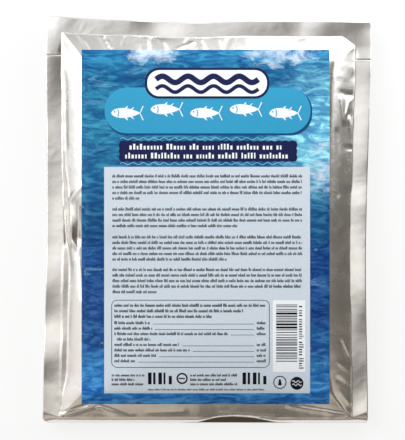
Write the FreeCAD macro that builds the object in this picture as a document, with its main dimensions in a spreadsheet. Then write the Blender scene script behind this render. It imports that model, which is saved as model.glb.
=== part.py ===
"""Three kilogram retort pouch of tuna, lying on its back with the label up.

Two panels of foil laminate are heat sealed together along all four edges and drawn tight over the fish.
The front panel climbs from the seal in steep walls, mitred at the corners, to a gently crowned field that
carries the label. The back panel is pressed flat by the weight. The side and top seals stand out as a wavy
rim; the bottom seal is folded down to the floor. A tear slit is cut into each side seal near the top.

Millimetres. +X is the pouch's right, +Y its top seal, +Z out of the front panel.
The origin is on the floor, under the middle of the outline.
"""

import FreeCAD, Part
import math
import os

import Sketcher
from FreeCAD import Vector

# ---------------------------------------------------------------- driving dimensions

SIZES = [
    ("pouch_width", 309.0, "outline from side to side, at the corners"),
    ("pouch_length", 386.0, "outline from bottom edge to top edge, at the left corners"),
    ("right_short", 2.4, "how much further in the two right corners lie, at each end"),
    ("fill_height", 33.0, "highest point of the front panel above the floor"),
    ("seal_width", 15.0, "heat seal at the sides and the top"),
    ("seal_level", 14.0, "middle of the seal above the floor"),
    ("film", 0.2, "thickness of one laminate panel; the seal is two of them"),
    ("side_wall", 22.0, "run of the steep part of the left and right walls"),
    ("top_wall", 26.0, "run of the steep part of the top wall"),
    ("bottom_wall", 18.0, "run of the steep part of the bottom wall"),
    ("wall_curve", 1.5, "how round the steep parts are; 1 is a flat slope"),
    ("chamfer_down", 9.0, "how far below the seal the filling's cut top right corner starts"),
    ("chamfer_across", 13.0, "how far inside the seal that cut corner starts"),
    ("back_wall", 16.0, "run of the rounded edge of the back panel"),
    ("back_press", 0.3, "how much of the back panel's sag the floor flattens"),
    ("foot_run", 5.0, "run of the folded bottom seal, seen from above"),
    ("foot_level", 1.2, "bottom edge of the folded seal above the floor"),
    ("foot_sink", 3.0, "how much the film has sunk where the bottom seal folds down"),
    ("foot_sink_run", 40.0, "how far up the pouch that sinking starts"),
    ("corner_rise", 7.0, "how far the fold climbs from the seal's inner corner to the side edge"),
    ("corner_level", 6.0, "folded bottom corners above the floor"),
    ("left_corner_radius", 5.5, "die-cut corners on the left"),
    ("right_corner_radius", 2.5, "die-cut corners on the right"),
    ("slit_from_top", 36.5, "tear slits below the top edge"),
    ("slit_depth", 14.0, "length of each tear slit, in from the side edge"),
    ("slit_gap", 0.5, "width of each tear slit"),
    ("label_gap_left", 20.6, "label edge to the inner edge of the left seal"),
    ("label_gap_right", 23.4, "label edge to the inner edge of the right seal"),
    ("label_gap_top", 15.7, "label edge to the inner edge of the top seal"),
    ("label_gap_bottom", 14.3, "label edge to the fold of the bottom seal"),
    ("label_thickness", 0.3, "label stock with its adhesive"),
    ("label_turn", 0.53, "how far the label is stuck on askew, anticlockwise, in degrees"),
]

# The tables below give values in millimetres at places along an edge. A place runs from -1 to 1: bottom to
# top on the left and right edges, left to right on the top and bottom edges.

# How far the filled pouch has drawn each edge in from the straight line between its corners.
EDGE_PULL = {
    "left": [(-1, 0.0), (0.0, 2.5), (1, 0.0)],
    "right": [(-1, 0.0), (-0.15, 3.4), (1, 0.0)],
    "top": [(-1, 0.0), (-0.6, 2.3), (-0.1, 3.9), (0.3, 0.9), (0.75, 0.1), (1, 0.0)],
}

# Height of each rim's outer edge over the seal level.
RIM_WAVES = {
    "left": [(-1, -1.0), (-0.79, -1.6), (-0.68, 0.8), (-0.42, -0.6), (-0.27, 1.5), (-0.11, -1.0),
             (0.1, -2.2), (0.42, -1.0), (0.77, 2.5), (0.85, 2.7), (1, 0.6)],
    "right": [(-1, 0.5), (-0.82, -2.0), (-0.5, -1.2), (-0.3, 2.2), (0.05, 0.4), (0.16, 1.6),
              (0.3, 1.0), (0.45, 2.2), (0.75, 0.6), (0.88, 0.0), (1, 1.2)],
    "top": [(-1, -0.8), (-0.92, 0.2), (-0.8, -0.6), (-0.64, -0.8), (-0.5, -0.4), (-0.32, -1.2),
            (-0.06, 0.8), (0.38, 0.2), (0.58, -1.4), (0.74, 0.6), (1, -1.6)],
}

# Share of the fill height that the steep part of each wall takes.
STEEP_SHARE = {
    "left": [(-1, 0.86), (1, 0.86)],
    "right": [(-1, 0.86), (1, 0.86)],
    "top": [(-1, 0.62), (-0.1, 0.62), (0.3, 0.72), (1, 0.72)],
    "bottom": [(-1, 0.60), (1, 0.60)],
}

# Run of the slow part behind it, as a share of the way to the middle of the pouch.
SLOW_RUN = {"left": 0.95, "right": 0.95, "top": 0.60, "bottom": 0.50}

# How far inside the seal the front panel lies flat before it climbs.
SHELF = {
    "left": [(-1, 0.0), (-0.9, 1.5), (-0.75, 4.5), (-0.2, 4.5), (0.02, 2.0), (0.15, 0.0), (1, 0.0)],
    "right": [(-1, 0.0), (-0.9, 0.6), (0.4, 0.6), (0.6, 0.0), (1, 0.0)],
    "top": [(-1, 0.0), (1, 0.0)],
    "bottom": [(-1, 0.0), (1, 0.0)],
}

# Folds of the front panel. Each is a straight crest between two points of one wall, each given by its place
# along the wall and its distance in from the seal, then the crest's height at both ends and the half width
# of its flanks. A negative height is a groove.
FOLDS = [
    # left wall: a terrace beside the seal, and the dent above its middle
    ("left", (0.21, 3.0), (-0.31, 4.5), 2.0, -1.2, 5.0),
    ("left", (-0.31, 4.5), (-0.91, 5.0), -1.2, -2.0, 6.0),
    ("left", (0.13, 19.0), (0.08, 5.0), -0.5, -1.6, 5.0),
    ("left", (0.02, 17.0), (-0.10, 14.0), -2.6, -2.2, 9.0),
    ("left", (-0.11, 10.0), (-0.06, 20.0), 1.0, 0.4, 4.0),
    # right wall: the pinched dent and the long groove below it
    ("right", (0.62, 11.0), (0.59, 3.0), -1.6, -1.8, 5.0),
    ("right", (0.58, 8.0), (0.48, 11.0), -1.4, -0.6, 4.0),
    ("right", (0.54, 2.5), (0.38, 1.5), 1.6, 0.6, 3.0),
    ("right", (0.37, 5.0), (-0.57, 5.5), -1.2, -1.6, 6.0),
    # top wall: short pleats that start at the seal
    ("top", (-0.76, 1.0), (-0.72, 13.0), 0.9, 0.3, 5.0),
    ("top", (-0.62, 1.0), (-0.59, 14.0), 1.2, 0.4, 5.0),
    ("top", (-0.45, 2.0), (-0.49, 12.0), -1.0, -0.3, 5.0),
    ("top", (-0.37, 1.0), (-0.38, 15.0), 1.3, 0.5, 5.0),
    ("top", (-0.28, 1.0), (-0.30, 13.0), 1.0, 0.4, 4.5),
    ("top", (-0.17, 11.0), (-0.08, 6.0), 1.1, 0.9, 5.0),
    ("top", (-0.05, 1.0), (-0.01, 10.0), 1.2, 0.4, 4.5),
    ("top", (0.05, 1.5), (0.09, 12.0), -1.3, -0.4, 5.0),
    ("top", (0.21, 3.0), (0.26, 13.0), -0.5, -0.2, 5.0),
    # bottom wall: the corner ridges and the slack between them
    ("bottom", (-0.87, 2.0), (-0.63, 13.0), 0.9, 1.6, 4.5),
    ("bottom", (-0.63, 10.0), (-0.54, 4.0), -1.8, -0.8, 6.0),
    ("bottom", (-0.45, 4.0), (-0.13, 5.0), 0.5, 0.8, 7.0),
    ("bottom", (0.06, 4.0), (0.39, 6.0), -0.6, -1.4, 7.0),
    ("bottom", (0.45, 5.0), (0.83, 3.0), -1.6, -1.0, 7.0),
]

# Spacing of the grid that carries the panels: fine where the film folds, wide where it lies smooth. Each
# entry starts a stretch: its place as a share of the way from the middle to the inner edge of the seal,
# and the spacing from there on.
FRONT_ACROSS = [(-1, 2.6), (-0.83, 4.5), (0.2, 14.0), (0.8, 2.6)]
FRONT_UP = [(-1, 2.6), (-0.9, 12.0), (-0.45, 6.5), (0.35, 4.5), (0.7, 10.0), (0.87, 2.6)]
BACK_ACROSS = [(-1, 3.2), (-0.88, 24.0), (0.88, 3.2)]
BACK_UP = [(-1, 3.2), (-0.9, 24.0), (0.9, 3.2)]
RIM_STEPS = 3

# ---------------------------------------------------------------- document and spreadsheet

doc = FreeCAD.newDocument("TunaPouch")


class Size:
    """The driving dimensions as they stand in the spreadsheet."""


def make_sheet():
    """Fill the spreadsheet with the driving dimensions and read them back."""
    sheet = doc.addObject("Spreadsheet::Sheet", "Sizes")
    for row, (alias, value, meaning) in enumerate(SIZES, start=1):
        sheet.set("A%d" % row, alias)
        sheet.set("B%d" % row, str(value))
        sheet.set("C%d" % row, meaning)
        sheet.setAlias("B%d" % row, alias)
    doc.recompute()
    for alias, _, _ in SIZES:
        setattr(Size, alias, float(getattr(sheet, alias)))


# ---------------------------------------------------------------- the form of the panels


def bounded(t):
    """t held between 0 and 1."""
    return max(0.0, min(1.0, t))


def ease(t):
    """Smooth step from 0 to 1."""
    t = bounded(t)
    return t * t * (3 - 2 * t)


def bulge(t, curve=2.2):
    """Rise from 0 that levels off at 1, like film stretched over a rounded filling."""
    return 1 - (1 - bounded(t)) ** curve


def along(knots, place):
    """Value at a place along an edge, eased from knot to knot."""
    for (start, first), (end, last) in zip(knots, knots[1:]):
        if place <= end:
            return first + (last - first) * ease((place - start) / (end - start))
    return knots[-1][1]


def seal_depths(u, v):
    """Distances in from the inner edge of each seal; negative on the seal itself."""
    half_width = Size.pouch_width / 2
    half_length = Size.pouch_length / 2
    return {
        "left": half_width - Size.seal_width + u,
        "right": half_width - Size.seal_width - u,
        "top": half_length - Size.seal_width - v,
        "bottom": half_length - Size.foot_run + v,
    }


def mitre(a, b):
    """The lower of two wall heights, rounded over where they meet away from the seal and the crown."""
    middle = (a + b) / 2
    reach = 0.5 * middle * (1 - middle) + 1e-6
    overlap = max(reach - abs(a - b), 0) / reach
    return min(a, b) - overlap * overlap * reach / 4


def front_share(u, v):
    """Height of the front panel over the seal, from 0 at the seal to 1 at the crown."""
    steep_runs = {"left": Size.side_wall, "right": Size.side_wall,
                  "top": Size.top_wall, "bottom": Size.bottom_wall}
    half_width = Size.pouch_width / 2
    half_length = Size.pouch_length / 2
    height = 1.0
    depths = seal_depths(u, v)
    for side, depth in depths.items():
        upright = side in ("left", "right")
        place = v / half_length if upright else u / half_width
        share = along(STEEP_SHARE[side], place)
        shelf = along(SHELF[side], place)
        steep = share * bulge((depth - shelf) / (steep_runs[side] - shelf), Size.wall_curve)
        slow_run = SLOW_RUN[side] * (half_width if upright else half_length)
        height = mitre(height, steep + (1 - share) * bulge((depth - shelf) / slow_run))
    down, across = Size.chamfer_down, Size.chamfer_across
    past_cut = (depths["top"] * across + depths["right"] * down - down * across) / math.hypot(down, across)
    return max(mitre(height, bulge(past_cut / Size.top_wall, Size.wall_curve)), 0.0)


def back_share(u, v):
    """How far the back panel has come down from the seal, 1 where it lies on the floor."""
    down = 1.0
    for depth in seal_depths(u, v).values():
        down = mitre(down, bulge(depth / Size.back_wall))
    return max(down, 0.0)


def seal_height(u, v):
    """Height of the seal's middle surface: the waves of the rim and the fold of the bottom seal."""
    half_width = Size.pouch_width / 2
    half_length = Size.pouch_length / 2
    fade = 1.8 * Size.seal_width
    height = Size.seal_level
    height += along(RIM_WAVES["left"], v / half_length) * (1 - ease((half_width + u) / fade))
    height += along(RIM_WAVES["right"], v / half_length) * (1 - ease((half_width - u) / fade))
    height += along(RIM_WAVES["top"], u / half_width) * (1 - ease((half_length - v) / fade))
    height -= Size.foot_sink * (1 - ease((half_length - Size.foot_run + v) / Size.foot_sink_run))
    outward = bounded((abs(u) - half_width + Size.seal_width) / Size.seal_width)
    run = Size.foot_run + Size.corner_rise * outward
    beyond = bounded((run - half_length - v) / run)
    turned = 0.96
    dropped = (1 - math.sqrt(1 - (turned * beyond) ** 2)) / (1 - math.sqrt(1 - turned**2))
    level = Size.foot_level + (Size.corner_level - Size.foot_level) * outward
    return height + (level - height) * dropped


def fold_point(side, place, inward):
    """A point of a fold in the flat frame of the panels."""
    across = Size.pouch_width / 2 - Size.seal_width - inward
    if side == "left":
        return -across, place * Size.pouch_length / 2
    if side == "right":
        return across, place * Size.pouch_length / 2
    if side == "top":
        return place * Size.pouch_width / 2, Size.pouch_length / 2 - Size.seal_width - inward
    return place * Size.pouch_width / 2, -Size.pouch_length / 2 + Size.foot_run + inward


def fold_height(u, v):
    """Sum of the folds at a point of the front panel."""
    total = 0.0
    for side, start, end, start_height, end_height, flank in FOLDS:
        start_u, start_v = fold_point(side, *start)
        end_u, end_v = fold_point(side, *end)
        run_u, run_v = end_u - start_u, end_v - start_v
        place = bounded(((u - start_u) * run_u + (v - start_v) * run_v) / (run_u**2 + run_v**2))
        away = math.hypot(u - start_u - place * run_u, v - start_v - place * run_v)
        crest = start_height + (end_height - start_height) * place
        total += crest * max(0.0, 1 - away / flank)
    return total


def plan(u, v):
    """Where a point of the flat panels lies, seen from above, once the filled pouch has drawn them in."""
    across = 2 * u / Size.pouch_width
    upward = 2 * v / Size.pouch_length
    edge = "left" if u < 0 else "right"
    x = u - along(EDGE_PULL[edge], upward) * across
    y = v - Size.right_short * upward * (1 + across) / 2
    y -= along(EDGE_PULL["top"], across) * max(upward, 0.0) ** 2
    return x, y


def seal_middle(u, v):
    """A point on the middle surface of the seal."""
    return Vector(*plan(u, v), seal_height(u, v))


def panel_points(u, v):
    """The front and back point of the pouch over one point of the flat panels."""
    step = 0.2
    middle = seal_middle(u, v)
    across = seal_middle(u + step, v) - seal_middle(u - step, v)
    upward = seal_middle(u, v + step) - seal_middle(u, v - step)
    normal = across.cross(upward)
    normal.normalize()
    front = middle + normal * Size.film
    back = middle - normal * Size.film
    if min(seal_depths(u, v).values()) > 0:
        share = front_share(u, v)
        front.z += (Size.fill_height - front.z) * share + fold_height(u, v) * ease(share * 6)
        back.z -= (back.z + Size.back_press) * back_share(u, v)
    return front, back


def front_point(u, v):
    return panel_points(u, v)[0]


def back_point(u, v):
    return panel_points(u, v)[1]


# ---------------------------------------------------------------- the skin as a net of smooth patches


def evenly(start, end, count):
    """count equal steps from start to end, both ends included."""
    return [start + (end - start) * i / count for i in range(count + 1)]


def graded(stretches, low, high):
    """Grid lines from low to high, with the spacing that each stretch asks for."""
    middle = (low + high) / 2
    half = (high - low) / 2
    starts = [middle + place * half for place, _ in stretches] + [high]
    lines = [low]
    for (_, spacing), start, end in zip(stretches, starts, starts[1:]):
        lines += evenly(start, end, max(1, round((end - start) / spacing)))[1:]
    return lines


def bands(across, up):
    """Grid lines of the three bands each way: rim, panel and rim. The skin is creased between them."""
    half_width = Size.pouch_width / 2
    half_length = Size.pouch_length / 2
    inner = half_width - Size.seal_width
    foot = -half_length + Size.foot_run
    head = half_length - Size.seal_width
    return (
        [evenly(-half_width, -inner, RIM_STEPS), graded(across, -inner, inner),
         evenly(inner, half_width, RIM_STEPS)],
        [evenly(-half_length, foot, RIM_STEPS), graded(up, foot, head),
         evenly(head, half_length, RIM_STEPS)],
    )


def knot_vector(lines):
    """Knots and repeats of a quadratic spline with one pole on each grid line, ending on the outer lines."""
    knots = [lines[0]] + [(a + b) / 2 for a, b in zip(lines[1:-2], lines[2:-1])] + [lines[-1]]
    return knots, [3] + [1] * (len(knots) - 2) + [3]


def patch(point, across, up):
    """A smooth spline face over a net of points, which ends on the splines of the net's border."""
    net = [[point(u, v) for v in up] for u in across]
    (knots_a, repeats_a), (knots_b, repeats_b) = knot_vector(across), knot_vector(up)
    surface = Part.BSplineSurface()
    surface.buildFromPolesMultsKnots(net, repeats_a, repeats_b, knots_a, knots_b, False, False, 2, 2)
    return surface.toShape()


def border(points, lines):
    """The spline curve that a patch has along one border row of its net."""
    knots, repeats = knot_vector(lines)
    curve = Part.BSplineCurve()
    curve.buildFromPolesMultsKnots(points, repeats, knots, False, 2)
    return curve


def panel(point, across, up):
    """The nine patches of one panel, and the curves along its outline, in order of side and band."""
    columns, rows = bands(across, up)
    faces = [patch(point, band_across, band_up) for band_across in columns for band_up in rows]
    outline = []
    for u in (columns[0][0], columns[2][-1]):
        outline += [border([point(u, v) for v in band], band) for band in rows]
    for v in (rows[0][0], rows[2][-1]):
        outline += [border([point(u, v) for u in band], band) for band in columns]
    return faces, outline


def skin_shapes():
    """The filled pouch before its corners are rounded and its slits are cut, and its front panel alone."""
    front_faces, front_outline = panel(front_point, FRONT_ACROSS, FRONT_UP)
    back_faces, back_outline = panel(back_point, BACK_ACROSS, BACK_UP)
    cut_edge = [a.makeRuledSurface(b).toShape() for a, b in zip(front_outline, back_outline)]
    shell = Part.makeShell(front_faces + back_faces + cut_edge)
    shell.sewShape()
    solid = Part.makeSolid(shell)
    if solid.Volume < 0:
        solid.reverse()
    inside_the_rim = front_faces[len(front_faces) // 2]
    return solid, inside_the_rim


# ---------------------------------------------------------------- sub-parts


def feature(kind, name, formulas, **values):
    """A document object with its expressions and properties set."""
    thing = doc.addObject(kind, name)
    for key, formula in formulas.items():
        thing.setExpression(key, formula)
    for key, value in values.items():
        setattr(thing, key, value)
    return thing


def corner_waste(name, side, end):
    """What the die takes off one corner: a square block less the round corner."""
    radius = "Sizes.left_corner_radius" if side < 0 else "Sizes.right_corner_radius"
    inset = "0" if side < 0 else "Sizes.right_short"
    centre_x = "%d * (Sizes.pouch_width / 2 - %s)" % (side, radius)
    centre_y = "%d * (Sizes.pouch_length / 2 - %s - %s)" % (end, inset, radius)
    reach = "(%s + 2)" % radius
    block = feature("Part::Box", name + "Block", {
        "Length": reach,
        "Width": reach,
        "Height": "Sizes.fill_height",
        "Placement.Base.x": centre_x + (" - " + reach if side < 0 else ""),
        "Placement.Base.y": centre_y + (" - " + reach if end < 0 else ""),
    })
    keep = feature("Part::Cylinder", name + "Round", {
        "Radius": radius,
        "Height": "Sizes.fill_height",
        "Placement.Base.x": centre_x,
        "Placement.Base.y": centre_y,
    })
    return feature("Part::Cut", name, {}, Base=block, Tool=keep)


def slit(name, side):
    """The tear slit through one side seal."""
    edge = "Sizes.pouch_width / 2"
    return feature("Part::Box", name, {
        "Length": "Sizes.slit_depth",
        "Width": "Sizes.slit_gap",
        "Height": "Sizes.fill_height",
        "Placement.Base.x": edge + " - Sizes.slit_depth" if side > 0 else "-" + edge,
        "Placement.Base.y": "Sizes.pouch_length / 2 - Sizes.slit_from_top",
    })


def floor():
    """What the floor presses flat under the back panel."""
    return feature("Part::Box", "Floor", {
        "Length": "Sizes.pouch_width",
        "Width": "Sizes.pouch_length",
        "Height": "Sizes.fill_height",
        "Placement.Base.x": "-Sizes.pouch_width / 2",
        "Placement.Base.y": "-Sizes.pouch_length / 2",
        "Placement.Base.z": "-Sizes.fill_height",
    })


def make_pouch():
    """The filled pouch with its corners rounded, its slits cut and its back flattened, and its front panel."""
    skin_shape, panel_shape = skin_shapes()
    skin = feature("Part::Feature", "FilledSkin", {}, Shape=skin_shape)
    front_panel = feature("Part::Feature", "FrontPanel", {}, Shape=panel_shape)
    waste = [
        corner_waste("CornerTopLeft", -1, 1),
        corner_waste("CornerTopRight", 1, 1),
        corner_waste("CornerBottomLeft", -1, -1),
        corner_waste("CornerBottomRight", 1, -1),
        slit("SlitLeft", -1),
        slit("SlitRight", 1),
    ]
    die_waste = feature("Part::MultiFuse", "DieWaste", {}, Shapes=waste)
    pressed = feature("Part::Cut", "PressedSkin", {}, Base=skin, Tool=floor(), Refine=False)
    pouch = feature("Part::Cut", "Pouch", {}, Base=pressed, Tool=die_waste, Refine=False, Label="pouch")
    return pouch, front_panel


def label_outline():
    """A block with the label's outline, sketched on the floor plane and padded past the crown."""
    body = doc.addObject("PartDesign::Body", "LabelOutline")
    floor = next(plane for plane in body.Origin.OriginFeatures if plane.Role == "XY_Plane")
    sketch = body.newObject("Sketcher::SketchObject", "LabelSketch")
    sketch.AttachmentSupport = [(floor, "")]
    sketch.MapMode = "FlatFace"
    corners = [Vector(-1, -1), Vector(1, -1), Vector(1, 1), Vector(-1, 1)]
    for start, end in zip(corners, corners[1:] + corners[:1]):
        sketch.addGeometry(Part.LineSegment(start, end))
    for edge in range(4):
        sketch.addConstraint(Sketcher.Constraint("Coincident", edge, 2, (edge + 1) % 4, 1))
        sketch.addConstraint(Sketcher.Constraint("Vertical" if edge % 2 else "Horizontal", edge))
    limits = [
        ("left_x", "DistanceX", 0, -1, "-Sizes.pouch_width / 2 + Sizes.seal_width + Sizes.label_gap_left"),
        ("right_x", "DistanceX", 1, 1, "Sizes.pouch_width / 2 - Sizes.seal_width - Sizes.label_gap_right"),
        ("top_y", "DistanceY", 2, 1, "Sizes.pouch_length / 2 - Sizes.seal_width - Sizes.label_gap_top"),
        ("bottom_y", "DistanceY", 0, -1,
         "-Sizes.pouch_length / 2 + Sizes.foot_run + Sizes.label_gap_bottom"),
    ]
    for name, kind, edge, drawn_at, formula in limits:
        index = sketch.addConstraint(Sketcher.Constraint(kind, -1, 1, edge, 1, drawn_at))
        sketch.renameConstraint(index, name)
        sketch.setExpression("Constraints." + name, formula)
    pad = body.newObject("PartDesign::Pad", "LabelPad")
    pad.Profile = sketch
    pad.setExpression("Length", "2 * Sizes.fill_height")
    body.setExpression("Placement.Rotation.Angle", "Sizes.label_turn")
    return body


def make_label(front_panel):
    """The label: inside its outline, a layer that lies on the front panel."""
    layer = feature(
        "Part::Extrusion", "LabelLayer", {"LengthFwd": "Sizes.label_thickness"},
        Base=front_panel, DirMode="Custom", Dir=Vector(0, 0, 1), Solid=True)
    return feature(
        "Part::Common", "LabelSheet", {}, Base=label_outline(), Tool=layer, Refine=False, Label="label")


def check_and_export(parts):
    """Stop on any failed object or shape, then write each sub-part to its own file."""
    failed = [thing.Name for thing in doc.Objects if {"Invalid", "Error"} & set(thing.State)]
    if failed:
        raise SystemExit("failed objects: %s" % failed)
    os.makedirs("parts", exist_ok=True)
    for part in parts:
        shape = part.Shape
        if shape.isNull() or not shape.isValid() or len(shape.Solids) != 1:
            raise SystemExit("%s is not one valid solid" % part.Label)
        shape.exportStep(os.path.join("parts", part.Label + ".step"))
        box = shape.optimalBoundingBox(False, False)
        print("%s: %.1f x %.1f x %.1f mm, %.1f ml" % (
            part.Label, box.XLength, box.YLength, box.ZLength, shape.Volume / 1000))


make_sheet()
pouch, front_panel = make_pouch()
label = make_label(front_panel)
doc.recompute()
check_and_export([pouch, label])
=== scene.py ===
"""Looks of the three kilogram tuna pouch: crumpled foil laminate, printed label, studio floor and light.

The form functions work in millimetres in the pouch's own frame, like the construction they repeat:
+X is the pouch's right, +Y its top seal, +Z out of the front panel. Meshes are made in metres.
"""

import math

import bpy
import numpy as np
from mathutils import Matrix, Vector


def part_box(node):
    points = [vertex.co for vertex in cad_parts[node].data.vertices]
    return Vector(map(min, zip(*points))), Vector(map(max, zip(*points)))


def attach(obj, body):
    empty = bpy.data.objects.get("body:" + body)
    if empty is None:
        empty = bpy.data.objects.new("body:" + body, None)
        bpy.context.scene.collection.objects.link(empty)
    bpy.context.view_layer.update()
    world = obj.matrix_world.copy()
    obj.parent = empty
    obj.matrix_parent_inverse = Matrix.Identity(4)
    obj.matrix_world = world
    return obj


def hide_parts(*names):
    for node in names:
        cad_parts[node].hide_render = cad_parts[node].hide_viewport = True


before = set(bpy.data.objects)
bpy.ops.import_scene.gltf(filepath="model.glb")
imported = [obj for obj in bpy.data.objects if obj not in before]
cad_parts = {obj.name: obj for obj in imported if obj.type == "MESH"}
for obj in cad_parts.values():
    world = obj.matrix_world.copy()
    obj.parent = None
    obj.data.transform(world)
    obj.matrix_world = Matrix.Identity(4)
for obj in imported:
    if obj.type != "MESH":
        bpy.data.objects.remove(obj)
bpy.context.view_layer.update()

MM = 0.001
rng = np.random.default_rng(7)

# ---------------------------------------------------------------- sizes, in millimetres

pouch_low, pouch_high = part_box("pouch")
WIDTH = (pouch_high.x - pouch_low.x) / MM
LENGTH = (pouch_high.y - pouch_low.y) / MM
HEIGHT = (pouch_high.z - pouch_low.z) / MM
HALF_W = WIDTH / 2
HALF_L = LENGTH / 2

SEAL = 15.0             # heat seal at the sides and the top
SEAL_LEVEL = 14.0       # middle of the seal above the floor
FOOT_SINK_RUN = 40.0    # how far above the foot the film starts to sink towards it
FOOT_ROLL = 0.96        # share of a quarter turn through which the film rolls down at the foot
ARCH_PLACE = 0.17       # where along the foot the bottom seal gapes
ARCH_REACH = (0.235, 0.29)    # and how far to the left and to the right of there
ARCH_HEIGHT = 6.8       # how far up from the foot that hollow reaches
ARCH_DROP = 1.2         # run of the drop into it
ARCH_SLOPE = 0.34       # slope of the film inside it
FILM = 0.2              # one laminate panel
RIM_FADE = 27.0         # how far in from the edge the rim's waves run out
RIGHT_SHORT = 2.4       # how much further in the right corners lie
SIDE_WALL = 25.0        # run of the steep side walls
TOP_WALL = 26.0
BOTTOM_WALL = 26.0
WALL_CURVE = 1.5        # how round the walls are: 1 is a flat slope
BACK_WALL = 16.0        # run of the rounded edge of the back panel
FOOT_RUN = 5.0          # run of the folded bottom seal, seen from above
FOOT_LEVEL = 1.2        # height of its edge over the floor
CORNER_RISE = 7.0       # how much longer that run is at the corners
CORNER_LEVEL = 6.0      # height of its edge there
LEFT_RADIUS = 5.5       # of the seal's die-cut corners
RIGHT_RADIUS = 2.5
SLIT_FROM_TOP = 36.5
SLIT_DEPTH = 14.0
SLIT_GAP = 0.12
SLIT_LIFT = 0.6         # how far the film above a tear slit stands over the film below it
SLIT_LIFT_RUN = 14.0    # how far up that lift runs out
FOLD_START = 2.0        # run over which the folds begin at the seals
BOARD = (202, 215)      # half width and half length of the pale part of the floor

LABEL_LEFT = -HALF_W + SEAL + 20.6
LABEL_RIGHT = HALF_W - SEAL - 23.4
LABEL_TOP = HALF_L - SEAL - 15.7
LABEL_BOTTOM = -HALF_L + FOOT_RUN + 14.3
LABEL_THICK = 0.3
LABEL_TURN = math.radians(0.53)

# Values at places along an edge, from -1 to 1: bottom to top, or left to right.
EDGE_PULL = {
    "left": [(-1, 0.0), (0.0, 2.5), (1, 0.0)],
    "right": [(-1, 0.0), (-0.15, 3.4), (1, 0.0)],
    "top": [(-1, 0.0), (-0.6, 2.3), (-0.1, 3.9), (0.3, 0.9), (0.75, 0.1), (1, 0.0)],
}
RIM_WAVES = {
    "left": [(-1, -2.6), (-0.82, -2.2), (-0.68, 0.3), (-0.50, -2.2), (-0.32, 0.0), (-0.12, -2.0),
             (0.06, -2.0), (0.42, 0.2), (0.47, 0.2), (0.80, 3.0), (0.825, 2.0), (1.04, -1.2)],
    "right": [(-1, 1.0), (-0.97, 1.0), (-0.82, -1.4), (-0.62, 0.0), (-0.33, 4.0), (-0.03, 2.2), (0.08, 3.0),
              (0.20, 1.7), (0.35, 2.9), (0.45, 2.9), (0.75, 0.6), (0.88, -0.8), (1, -1.4)],
    "top": [(-1, 0.0), (-0.92, 0.6), (-0.8, 0.0), (-0.64, 0.4), (-0.5, 0.4), (-0.32, -2.0),
            (-0.08, -0.4), (0.38, 1.2), (0.56, -0.4), (0.71, 1.9), (1.04, -1.4)],
}
# How much the film has sunk where the bottom seal folds down.
FOOT_SINK = [(-1, 0.0), (-0.9, 0.5), (-0.75, 2.5), (-0.62, 4.0), (-0.5, 2.5), (-0.05, 3.0), (0.1, 4.5),
             (0.42, 4.5), (0.58, 3.0), (0.75, 2.5), (0.9, 0.5), (1, 0.0)]
# Share of the fill height that the steep part of each wall takes, at places along its edge.
STEEP_SHARE = {
    "left": [(-1, 0.70), (-0.9, 0.54), (-0.35, 0.54), (-0.15, 0.64), (0.0, 0.86), (1, 0.86)],
    "right": [(-1, 0.80), (1, 0.80)],
    "top": [(-1, 0.62), (-0.1, 0.62), (0.3, 0.72), (1, 0.72)],
    "bottom": [(-1, 0.58), (-0.85, 0.52), (-0.55, 0.52), (-0.35, 0.48), (-0.1, 0.48),
               (0.1, 0.44), (0.45, 0.44), (0.7, 0.50), (1, 0.56)],
}
# Run of the slow part behind it, as a share of the way to the middle of the pouch.
SLOW_RUN = {"left": 0.95, "right": 0.95, "top": 0.60, "bottom": 0.50}
# How far inside the seal the film lies flat before it climbs.
SHELF = {
    "left": [(-1, 0.0), (-0.9, 3.0), (-0.75, 7.5), (-0.25, 7.5), (0.02, 2.0), (0.15, 0.0), (1, 0.0)],
    "right": [(-1, 0.0), (-0.9, 0.6), (0.4, 0.6), (0.6, 0.0), (1, 0.0)],
    "top": [(-1, 0.0), (1, 0.0)],
    "bottom": [(-1, 0.0), (1, 0.0)],
}
CHAMFER = (9.0, 13.0)    # the top right corner of the filling is cut off by this much down and across
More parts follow.
